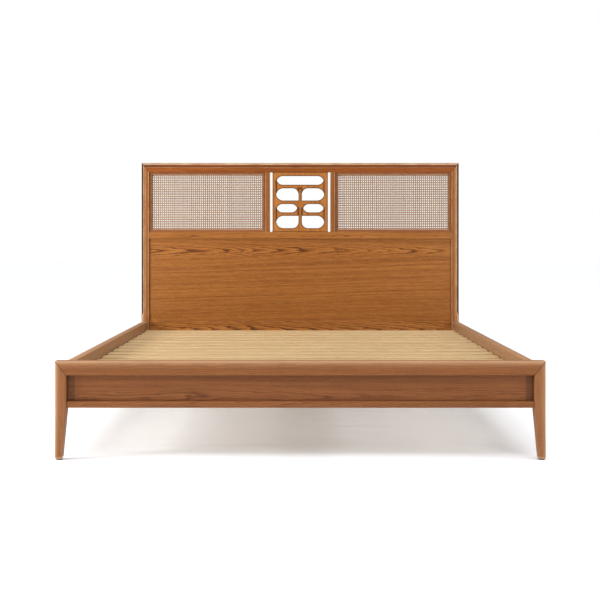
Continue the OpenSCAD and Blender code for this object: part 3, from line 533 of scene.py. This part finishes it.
# A top rail: the moulded section stands on end and is carried across, each end cut on the mitre
def mitredRail(name, low, high, shape, mitreRun):
    height, depth = high[2] - low[2], high[1] - low[1]
    full, edge = memberSection(memberCorners(height, depth, shape["front"]), {**shape, "ridgeHighlight": 0.0})
    run = full[:, 0] * mitreRun / height
    centre = np.array([height / 2, depth / 2])
    drawn = centre + (full - centre) * (1 - 2 * mitreLine["groove"] / np.array([height, depth]))
    drawnRun = drawn[:, 0] * mitreRun / height
    half = high[0]
    ends = [(drawn, half - drawnRun), (full, half - run - mitreLine["width"]), (full, half - run - mitreLine["dark"])]
    rings, seam = [], []
    for sign in (-1, 1):
        order = ends if sign < 0 else ends[::-1]
        for section, x in order:
            rings.append(np.stack([sign * x, low[1] + section[:, 1], high[2] - section[:, 0]], -1))
        seam += [1, 0.8, 0] if sign < 0 else [0, 0.8, 1]
    rings = np.array(rings)
    marks = np.zeros(rings.shape)
    front = full[:, 1] < depth / 2
    onBevel = front & (full[:, 0] < shape["front"][1, 0] * height / postWidth)
    onBand = front & ~onBevel & (full[:, 0] < 1.02 * shape["front"][-1, 0] * height / postWidth)
    # On the headboard the top bevel takes a painted highlight where it faces up to the light; the band below and the
    # bottom arris take no wear.
    marks[..., 0] = np.where(onBevel & (shape["railBevelHighlight"] > 0), shape["railBevelHighlight"],
                             edge * (full[:, 0] < 0.9 * height) * ~(onBand & (shape["outerHighlight"] == 0)))
    # Mitres are dark joints; on the headboard the band below the bevel carries painted shade where it faces down.
    marks[..., 1] = np.maximum(np.array(seam)[:, None], shape["railBandPaintedShade"] * onBand)
    return skinRings(name, rings, {"grain": grainOf(rings, 0, 2, (0.03, -0.09)), "marks": marks})


for side, word in ((-1, "left"), (1, "right")):
    low, high = boxOf("head_post_" + word)
    addPiece(upright("headPost_" + word, low, high, side, headMoulding, topHigh[2] - topLow[2], True),
             finishes["post"], "frame", ["head_post_" + word])
    low, high = boxOf("foot_leg_" + word)
    addPiece(upright("footLeg_" + word, low, high, side, footMoulding, footRailHigh[2] - footRailLow[2], False),
             finishes["leg"], "frame", ["foot_leg_" + word])
addPiece(mitredRail("headTopRail", topLow, topHigh, headMoulding, postWidth), finishes["topRail"], "frame",
         ["head_top_rail"])
addPiece(mitredRail("footTopRail", footRailLow, footRailHigh, footMoulding, postWidth), finishes["footRail"],
         "frame", ["foot_top_rail"])
print("stage: posts, legs and mitred rails")

# The end width is that of the painted shadow the legs cast on the foot panel's ends.
boardMarks = {"endShadowWidth": 23 * mm, "seam": 0.6, "wear": 0.2}
boards = [
    # piece, node, low and high corners, finish, heart across and through, ease, painted shadow at the ends
    ("headMidRail", "head_mid_rail", (-insideX, midLow[1], midLow[2]), (insideX, midHigh[1], midHigh[2]),
     "midRail", (0.0, -0.03), 0.9 * mm, 0.0),
    ("headBottomRail", "head_bottom_rail", (-insideX, lowRailLow[1], lowRailLow[2]),
     (insideX, lowRailHigh[1], lowRailHigh[2]), "board", (0.02, 0.05), 1.5 * mm, 0.0),
    ("headBoard", "head_board", (-insideX, boardLow[1], lowRailHigh[2]), (insideX, boardHigh[1], midLow[2]),
     "board", ((midLow[2] - lowRailHigh[2]) / 2 - 0.062, 0.035), 0.8 * mm, 0.0),
    ("footBottomRail", "foot_bottom_rail", (-insideX, sillLow[1], sillLow[2]), (insideX, sillHigh[1], sillHigh[2]),
     "footSill", (0.03, 0.03), 1.2 * mm, 0.0),
    # the foot panel's ends carry painted shadow from the legs
    ("footPanel", "foot_panel", (-insideX, panelLow[1], sillHigh[2]), (insideX, panelHigh[1], footRailLow[2]),
     "footPanel", (-0.03, 0.03), 0.8 * mm, 0.42),
]
for piece, node, low, high, finish, heart, ease, endShadowStrength in boards:
    addPiece(plank(piece, low, high, 0, 2, ease, heart, seamEnds=boardMarks["seam"],
                   paintedEndShadow=(boardMarks["endShadowWidth"], endShadowStrength), wear=boardMarks["wear"]),
             finishes[finish], "frame", [node])


stileShape = {"ear": 6.25 * mm, "slotWallShade": 0.75, "slotFrom": 0.985}


# An inner stile: a rounded rectangle carried up, its slot side swelling into the slot's rounded ends.
# The swelling at a height h above the end is r minus the root of r squared less (r - h) squared.
def stile(name, low, high, side):
    stubLow, stubHigh = midHigh[2], topLow[2]
    ear = stileShape["ear"]
    outer = high[0] if side > 0 else -low[0]
    inner = (low[0] if side > 0 else -high[0]) + ear
    angle = np.linspace(0, np.pi / 2, 7)
    rise = ear * (1 - np.cos(angle))
    swell = ear * (1 - np.sin(angle))
    z = np.concatenate([stubLow + rise, stubHigh - rise[::-1]])
    swell = np.concatenate([swell, swell[::-1]])
    section, edge = easedSection([(inner, low[1]), (outer, low[1]), (outer, high[1]), (inner, high[1])], 1.2 * mm)
    share = (outer - section[:, 0]) / (outer - inner)
    x = section[None, :, 0] - swell[:, None] * np.clip(share * 1.3 - 0.3, 0, 1)[None]
    rings = np.stack([side * x, np.repeat(section[None, :, 1], len(z), 0),
                      np.repeat(z[:, None], len(section), 1)], -1)
    marks = np.zeros(rings.shape)
    marks[..., 0] = edge
    # the face towards the slot carries painted shade
    marks[..., 1] = stileShape["slotWallShade"] * (share > stileShape["slotFrom"])
    return skinRings(name, rings, {"grain": grainOf(rings, 2, 0, (0.06 * side, -0.04)), "marks": marks})


for side, word in ((-1, "left"), (1, "right")):
    low, high = boxOf("inner_stile_" + word)
    addPiece(stile("innerStile_" + word, low, high, side), finishes["post"], "frame", ["inner_stile_" + word])


stripMarks = {"near": 1.2 * mm, "uprightShade": 0.4, "seam": 0.55, "rim": 0.8, "rimWidth": 0.9 * mm}


# Four mitred strips round a field: a section is carried round the rectangle, and each corner turns it
# along the diagonal. Section coordinates run inwards from the outer edge and back from the front.
def stripFrame(name, low, high, corners, ease, heart):
    section, edge = easedSection(corners, ease, beside=1.5 * mm)
    inward = section[:, 0]
    x0, x1, z0, z1 = low[0], high[0], low[2], high[2]
    near, upright = stripMarks["near"], stripMarks["uprightShade"]
    rings, seam = [], []
    cornersXZ = [(x0, z0, 1, 1), (x1, z0, -1, 1), (x1, z1, -1, -1), (x0, z1, 1, -1)]
    travel = [(1, 0), (0, 1), (-1, 0), (0, -1)]
    for k, (cx, cz, sx, sz) in enumerate(cornersXZ):
        px, pz = cx + sx * inward, cz + sz * inward
        into, out = travel[k - 1], travel[k]
        for dx, dz, dark in ((-into[0], -into[1], upright * abs(into[1])), (0, 0, 1.0),
                             (out[0], out[1], upright * abs(out[1]))):
            rings.append(np.stack([px + dx * near, low[1] + section[:, 1], pz + dz * near], -1))
            seam.append(dark)
    rings = np.array(rings)
    marks = np.zeros(rings.shape)
    marks[..., 0] = edge
    # the seam mark is a dark joint at the mitres and painted shade along the vertical strips, shaded by the posts and
    # stiles beside them; the rim is a dark joint against the frame
    marks[..., 1] = np.maximum(stripMarks["seam"] * np.array(seam)[:, None],
                               stripMarks["rim"] * (inward < stripMarks["rimWidth"]))
    return skinRings(name, rings, {"grain": grainOf(rings, 0, 2, heart), "marks": marks}, loop=True)


caneWeave = {"pitchX": 10.3 * mm, "pitchZ": 11.6 * mm, "uprightWidth": 5.4 * mm, "levelWidth": 5.7 * mm,
             "thickness": 0.42 * mm, "swing": 0.36 * mm, "stepsPerCrossing": 4}


# Flat strips woven over and under each other: a strip's lens-shaped section follows a cosine whose
# half wave is the distance between the strips it crosses
def caneSheet(name, low, high):
    s = caneWeave
    countX = round((high[0] - low[0]) / s["pitchX"])
    countZ = round((high[2] - low[2]) / s["pitchZ"])
    pitchX, pitchZ = (high[0] - low[0]) / countX, (high[2] - low[2]) / countZ
    middle = (low[1] + high[1]) / 2
    across = np.array([-1, -0.62, 0.62, 1, 0.62, -0.62])
    through = np.array([0, -1, -1, 0, 1, 1]) * s["thickness"] / 2
    edge = np.array([1, 0.2, 0.2, 1, 0.2, 0.2])
    allPoints, allQuads, allStrand, capList, offset = [], [], [], [], 0

    # strips along one axis: each centre is the start plus a whole number and a half of pitches, and each
    # strip's wave is the swing times a cosine whose sign alternates
    def strips(count, pitch, start, length, crossPitch, width, upright):
        nonlocal offset
        steps = round(length / crossPitch) * s["stepsPerCrossing"]
        along = np.linspace(0, length, steps + 1)
        centre = start + (np.arange(count) + 0.5) * pitch
        centre = centre + rng.normal(0, 0.16 * mm, count)
        sign = np.where((np.arange(count) + (0 if upright else 1)) % 2 == 0, 1.0, -1.0)
        wave = s["swing"] * sign[:, None] * np.cos(np.pi * (along / crossPitch - 0.5))[None]
        drift = rng.normal(0, 0.10 * mm, (count, 1)) * np.sin(along[None] * 14 + rng.uniform(0, 6, (count, 1)))
        half = width / 2 * rng.uniform(0.93, 1.05, (count, 1, 1))
        side = centre[:, None, None] + drift[..., None] + across[None, None] * half
        depth = middle + wave[..., None] + through[None, None]
        run = np.broadcast_to(along[None, :, None], side.shape)
        if upright:
            points = np.stack([side, depth, low[2] + run], -1)
        else:
            points = np.stack([low[0] + run, depth, side], -1)
        n, m = len(along), len(across)
        index = offset + np.arange(count * n * m).reshape(count, n, m)
        a, b = index[:, :-1], index[:, 1:]
        quads = np.stack([a, np.roll(a, -1, 2), np.roll(b, -1, 2), b], -1)
        quads = quads.reshape(-1, 4) if not upright else quads[..., ::-1].reshape(-1, 4)
        number = np.broadcast_to((np.arange(count) + (0 if upright else 500))[:, None, None], side.shape)
        strand = np.stack([run + number * 1.7, np.broadcast_to(across[None, None], side.shape), number], -1)
        firstCaps, lastCaps = index[:, 0], index[:, -1]
        if upright:
            capList.extend([*firstCaps, *lastCaps[:, ::-1]])
        else:
            capList.extend([*firstCaps[:, ::-1], *lastCaps])
        allPoints.append(points.reshape(-1, 3))
        allQuads.append(quads)
        allStrand.append(strand.reshape(-1, 3))
        offset += points.reshape(-1, 3).shape[0]

    strips(countX, pitchX, low[0], high[2] - low[2], pitchZ, s["uprightWidth"], True)
    strips(countZ, pitchZ, low[2], high[0] - low[0], pitchX, s["levelWidth"], False)
    return meshOf(name, np.concatenate(allPoints), np.concatenate(allQuads), capList,
                  {"strand": np.concatenate(allStrand)}, smoothAngle=math.radians(70))


caneFrame = {"beadWidth": 14 * mm, "beadEase": np.array([1.0, 3.2, 0.8, 0.8]) * mm,
             "backingWidth": 12 * mm, "backingEase": np.array([0.8, 0.8, 1.6, 0.8]) * mm, "heart": (0.02, -0.05)}
for side, word in ((-1, "left"), (1, "right")):
    low, high = boxOf("cane_bead_" + word)
    w, t = caneFrame["beadWidth"], high[1] - low[1]
    addPiece(stripFrame("caneBead_" + word, low, high, [(0, 0), (w, 0), (w, t), (0, t)], caneFrame["beadEase"],
                        caneFrame["heart"]),
             finishes["bead"], "frame", ["cane_bead_" + word])
    low, high = boxOf("cane_backing_" + word)
    w, t = caneFrame["backingWidth"], high[1] - low[1]
    addPiece(stripFrame("caneBacking_" + word, low, high, [(0, 0), (w, 0), (w, t), (0, t)],
                        caneFrame["backingEase"], caneFrame["heart"]),
             finishes["bead"], "frame", ["cane_backing_" + word])
    low, high = boxOf("cane_sheet_" + word)
    addPiece(caneSheet("caneWeave_" + word, low, high), finishes["cane"], "frame", ["cane_sheet_" + word])
print("stage: stiles, beads and cane")


# Which points touch a face that doesn't lie square to an axis: the points of walls and eased edges
def edgePointsOf(mesh, axis):
    normals, sizes = np.empty(len(mesh.polygons) * 3, np.float32), np.empty(len(mesh.polygons), np.int32)
    corners = np.empty(len(mesh.loops), np.int32)
    mesh.polygons.foreach_get("normal", normals)
    mesh.polygons.foreach_get("loop_total", sizes)
    mesh.loops.foreach_get("vertex_index", corners)
    slanted = np.abs(normals.reshape(-1, 3)[:, axis]) < 0.999
    return np.bincount(corners, np.repeat(slanted, sizes), len(mesh.vertices)) > 0


# Faces cut into cells by planes a step apart, so that painted shade can fall off within them
def cutIntoCells(mesh, low, high, axes, step):
    work = bmesh.new()
    work.from_mesh(mesh)
    bmesh.ops.triangulate(work, faces=work.faces[:])
    for axis in axes:
        for place in np.arange(low[axis] + step, high[axis], step):
            point, normal = Vector((0, 0, 0)), Vector((0, 0, 0))
            point[axis], normal[axis] = place, 1
            bmesh.ops.bisect_plane(work, geom=work.verts[:] + work.edges[:] + work.faces[:], dist=0.02 * mm,
                                   plane_co=point, plane_no=normal)
    work.to_mesh(mesh)
    work.free()


# A copy of a imported shape with its doubled points merged and its sharp edges rounded over. Painted shade
# falls off in a straight line with the distance from the nearest edge.
def easedCopy(node, name, finish, ease, along, across, facing, heart, edgeWear, paintedShade, paintedShadeWidth, cell):
    mesh = nodes[node].data.copy()
    mesh.name = name
    work = bmesh.new()
    work.from_mesh(mesh)
    bmesh.ops.remove_doubles(work, verts=work.verts, dist=0.01 * mm)
    bmesh.ops.dissolve_limit(work, angle_limit=math.radians(1), verts=work.verts, edges=work.edges)
    work.to_mesh(mesh)
    work.free()
    rough = bpy.data.objects.new(name + "_rough", mesh)
    bpy.context.scene.collection.objects.link(rough)
    bevel = rough.modifiers.new("easedEdges", "BEVEL")
    bevel.width, bevel.segments, bevel.limit_method, bevel.angle_limit = ease, 2, "ANGLE", math.radians(35)
    evaluated = rough.evaluated_get(bpy.context.evaluated_depsgraph_get())
    final = bpy.data.meshes.new_from_object(evaluated)
    final.name = name
    bpy.data.objects.remove(rough)
    if cell:
        cutIntoCells(final, *boxOf(node), (along, across), cell)
    points = np.empty(len(final.vertices) * 3, np.float32)
    final.vertices.foreach_get("co", points)
    points = points.reshape(-1, 3).astype(float)
    onEdge = edgePointsOf(final, facing)
    marks = np.zeros(points.shape)
    marks[:, 0] = edgeWear * onEdge
    # painted shade: darkest on walls and eased edges, falling off across the faces beside them
    if paintedShade:
        edges = points[onEdge].astype(np.float32)
        near = [np.linalg.norm(part[:, None] - edges[None], axis=2).min(1)
                for part in np.array_split(points.astype(np.float32), max(1, len(points) // 800))]
        marks[:, 1] = paintedShade * np.clip(1 - np.concatenate(near) / paintedShadeWidth, 0, 1)
    final.attributes.new("grain", "FLOAT_VECTOR", "POINT").data.foreach_set(
        "vector", grainOf(points, along, across, heart).astype(np.float32).ravel())
    final.attributes.new("marks", "FLOAT_VECTOR", "POINT").data.foreach_set(
        "vector", marks.astype(np.float32).ravel())
    final.polygons.foreach_set("use_smooth", np.ones(len(final.polygons), bool))
    final.set_sharp_from_angle(angle=math.radians(32))
    return addPiece(final, finishes[finish], "frame", [node])


# the fretwork's faces darken with painted shade towards its openings; the side rails have none
fretwork = {"finish": "fretwork", "ease": 0.8 * mm, "along": 2, "across": 0, "facing": 1, "heart": (0.03, -0.09),
            "edgeWear": 0.0, "paintedShade": 1.15, "paintedShadeWidth": 6 * mm, "cell": 8 * mm}
sideRail = {"finish": "sideRail", "ease": 1.2 * mm, "along": 1, "across": 2, "facing": 0, "heart": (0.02, -0.08),
            "edgeWear": 0.7, "paintedShade": 0.0, "paintedShadeWidth": 1 * mm, "cell": 0.0}
easedCopy("fretwork_panel", "fretworkPanel", **fretwork)
for word in ("left", "right"):
    easedCopy("side_rail_" + word, "sideRail_" + word, **sideRail)
print("stage: fretwork and side rails")

slatInset = 0.3 * mm
for k in range(1, 15):
    low, high = boxOf("slat_%d" % k)
    high[2] -= slatInset
    heart = (rng.uniform(-0.03, 0.03), rng.uniform(-0.09, -0.02))
    addPiece(plank("slat_%02d" % k, low, high, 0, 1, 2.5 * mm, heart), finishes["pale"], "frame",
             ["slat_%d" % k])
for word in ("left", "right"):
    low, high = boxOf("ledger_" + word)
    addPiece(plank("ledgerStrip_" + word, low, high, 1, 2, 1.5 * mm, (0.02, -0.05)), finishes["pale"], "frame",
             ["ledger_" + word])
low, high = boxOf("centre_beam")
addPiece(plank("centreBeam", low, high, 1, 2, 2 * mm, (0.02, -0.06)), finishes["pale"], "frame",
         ["centre_beam"])
low, high = boxOf("foot_cleat")
addPiece(plank("footCleat", low, high, 0, 2, 1.5 * mm, (0.02, -0.06)), finishes["pale"], "frame",
         ["foot_cleat"])


# The centre leg: a rounded square that narrows evenly to the floor
def taperedProp(name, low, high, footWidth):
    topWidth = high[0] - low[0]
    cx, cy = (low[0] + high[0]) / 2, (low[1] + high[1]) / 2
    unit, edge = easedSection(np.array([(-1, -1), (1, -1), (1, 1), (-1, 1)]) * topWidth / 2, 3 * mm)
    ease = 1.5 * mm
    z = np.array([low[2], low[2], low[2] + ease, high[2] - 0.5 * mm, high[2]])
    width = footWidth + (topWidth - footWidth) * (z - low[2]) / (high[2] - low[2])
    width = width - np.array([6 * mm, 2 * ease, 0, 0, 1 * mm])
    share = width[:, None] / topWidth
    rings = np.stack([cx + unit[None, :, 0] * share, cy + unit[None, :, 1] * share,
                      np.repeat(z[:, None], len(unit), 1)], -1)
    marks = np.zeros(rings.shape)
    marks[..., 0] = edge
    return skinRings(name, rings, {"grain": grainOf(rings, 2, 0, (0.05, -0.04)), "marks": marks})


low, high = boxOf("centre_leg")
low[2] += slatInset
addPiece(taperedProp("centreLeg", low, high, 34 * mm), finishes["sideRail"], "frame", ["centre_leg"])
print("stage: slats and centre support")

keptFinishes = {
    "steel": ["beam_hanger_foot", "beam_hanger_head", "leg_plate", "leg_bolt", "leveller_screw", "rail_studs",
              "half_moon_washers", "rail_nuts", "slat_screws", "ledger_screws", "hanger_screws", "plate_screws",
              "cleat_screws"],
    "brass": ["leveller_insert"],
    "plastic": ["leveller_pad", "foot_glides"],
}
for finish, names in keptFinishes.items():
    for node in names:
        mesh = nodes[node].data
        mesh.materials.clear()
        mesh.materials.append(finishes[finish])


# Plain pale timber for shapes that have no grain of their own, on Object coordinates
def plainTimber(name):
    material, tree, shader = startMaterial(name)
    place = addNode(tree, "ShaderNodeTexCoord").outputs["Object"]
    lines = stretchedNoise(tree, place, (300, 6, 300), detail=2)
    tree.links.new(ramp(tree, lines, [(0.3, shade(200, 160, 110)), (0.7, shade(226, 194, 148))]),
                   shader.inputs["Base Color"])
    tree.links.new(maths(tree, "MULTIPLY_ADD", lines, 0.2, 0.5), shader.inputs["Roughness"])
    bump = addNode(tree, "ShaderNodeBump", {"Strength": 0.3, "Distance": 0.1 * mm, "Height": lines})
    tree.links.new(bump.outputs[0], shader.inputs["Normal"])
    return material


dowelTimber = plainTimber("dowelTimber")
for node in ("mitre_splines", "rail_dowels"):
    mesh = nodes[node].data
    mesh.materials.clear()
    mesh.materials.append(dowelTimber)
print("stage: finishes on the packed shapes")

studio = {
    "floor": (0.855, 0.875, 0.905), "floorSize": 60.0,
    "horizon": 0.1, "zenith": 0.5, "shownWhite": 1.0,
    "sun": {"tilt": (15.0, -4.0), "angle": 60.0, "strength": 2.7},
    "sideLeft": {"at": (-3.6, -1.6, 1.3), "to": (-0.4, -0.8, 0.0), "size": (1.6, 0.8), "watts": 150},
    "sideRight": {"at": (3.6, -1.8, 1.3), "to": (0.4, -0.8, 0.0), "size": (1.6, 0.8), "watts": 45},
    "front": {"at": (2.4, -4.6, 2.2), "to": (0.2, 0.4, 0.6), "size": (1.6, 1.2), "watts": 30},
}
half = studio["floorSize"] / 2
floorPoints = np.array([(-half, -half, 0), (half, -half, 0), (half, half, 0), (-half, half, 0)])
floorMesh = meshOf("studioFloor", floorPoints, np.array([[0, 1, 2, 3]]))
floorMaterial, tree, shader = startMaterial("paleFloor")
place = addNode(tree, "ShaderNodeTexCoord").outputs["Object"]
cloud = stretchedNoise(tree, place, (2, 2, 2), detail=2)
tree.links.new(ramp(tree, cloud, [(0.3, tuple(c * 0.99 for c in studio["floor"])), (0.7, studio["floor"])]),
               shader.inputs["Base Color"])
tree.links.new(maths(tree, "MULTIPLY_ADD", cloud, 0.1, 0.75), shader.inputs["Roughness"])
floorMesh.materials.append(floorMaterial)
floor = bpy.data.objects.new("studioFloor", floorMesh)
bpy.context.scene.collection.objects.link(floor)

world = bpy.data.worlds.new("studio")
bpy.context.scene.world = world
world.use_nodes = True
tree = world.node_tree
tree.nodes.clear()
# the sky brightens smoothly from the horizon to overhead, and shows plain white
direction = addNode(tree, "ShaderNodeSeparateXYZ", {0: addNode(tree, "ShaderNodeTexCoord").outputs["Generated"]})
rise = addNode(tree, "ShaderNodeMapRange", {"Value": direction.outputs[2], "From Min": 0.05, "From Max": 0.85,
                                            "To Min": studio["horizon"], "To Max": studio["zenith"]},
               interpolation_type="SMOOTHSTEP")
around = addNode(tree, "ShaderNodeBackground", {"Color": (1, 1, 1, 1), "Strength": rise.outputs[0]})
shown = addNode(tree, "ShaderNodeBackground", {"Color": (1, 1, 1, 1), "Strength": studio["shownWhite"]})
which = addNode(tree, "ShaderNodeLightPath")
mixed = addNode(tree, "ShaderNodeMixShader", {0: which.outputs["Is Camera Ray"], 1: around.outputs[0],
                                              2: shown.outputs[0]})
addNode(tree, "ShaderNodeOutputWorld", {0: mixed.outputs[0]})


# A rectangular soft light that faces a point and isn't itself seen
def softLight(name, at, to, size, watts):
    data = bpy.data.lights.new(name, "AREA")
    data.shape, data.size, data.size_y, data.energy = "RECTANGLE", size[0], size[1], watts
    lamp = bpy.data.objects.new(name, data)
    lamp.location = at
    lamp.rotation_euler = (Vector(to) - Vector(at)).to_track_quat("-Z", "Y").to_euler()
    lamp.visible_camera = False
    bpy.context.scene.collection.objects.link(lamp)


for name in ("sideLeft", "sideRight", "front"):
    softLight(name, **studio[name])
sunData = bpy.data.lights.new("overheadSun", "SUN")
sunData.energy, sunData.angle = studio["sun"]["strength"], math.radians(studio["sun"]["angle"])
sun = bpy.data.objects.new("overheadSun", sunData)
sun.rotation_euler = (math.radians(studio["sun"]["tilt"][0]), math.radians(studio["sun"]["tilt"][1]), 0)
bpy.context.scene.collection.objects.link(sun)

cameraSettings = {"at": (-0.001, -4.7815, 0.717), "lens": 68.85, "shiftY": -0.1}
cameraData = bpy.data.cameras.new("camera")
cameraData.lens, cameraData.sensor_width, cameraData.shift_y = cameraSettings["lens"], 36.0, cameraSettings["shiftY"]
camera = bpy.data.objects.new("camera", cameraData)
camera.location = cameraSettings["at"]
camera.rotation_euler = (math.pi / 2, 0, 0)
bpy.context.scene.collection.objects.link(camera)
bpy.context.scene.camera = camera
bpy.context.scene.view_settings.view_transform = "Standard"
print("stage: floor, light and camera")
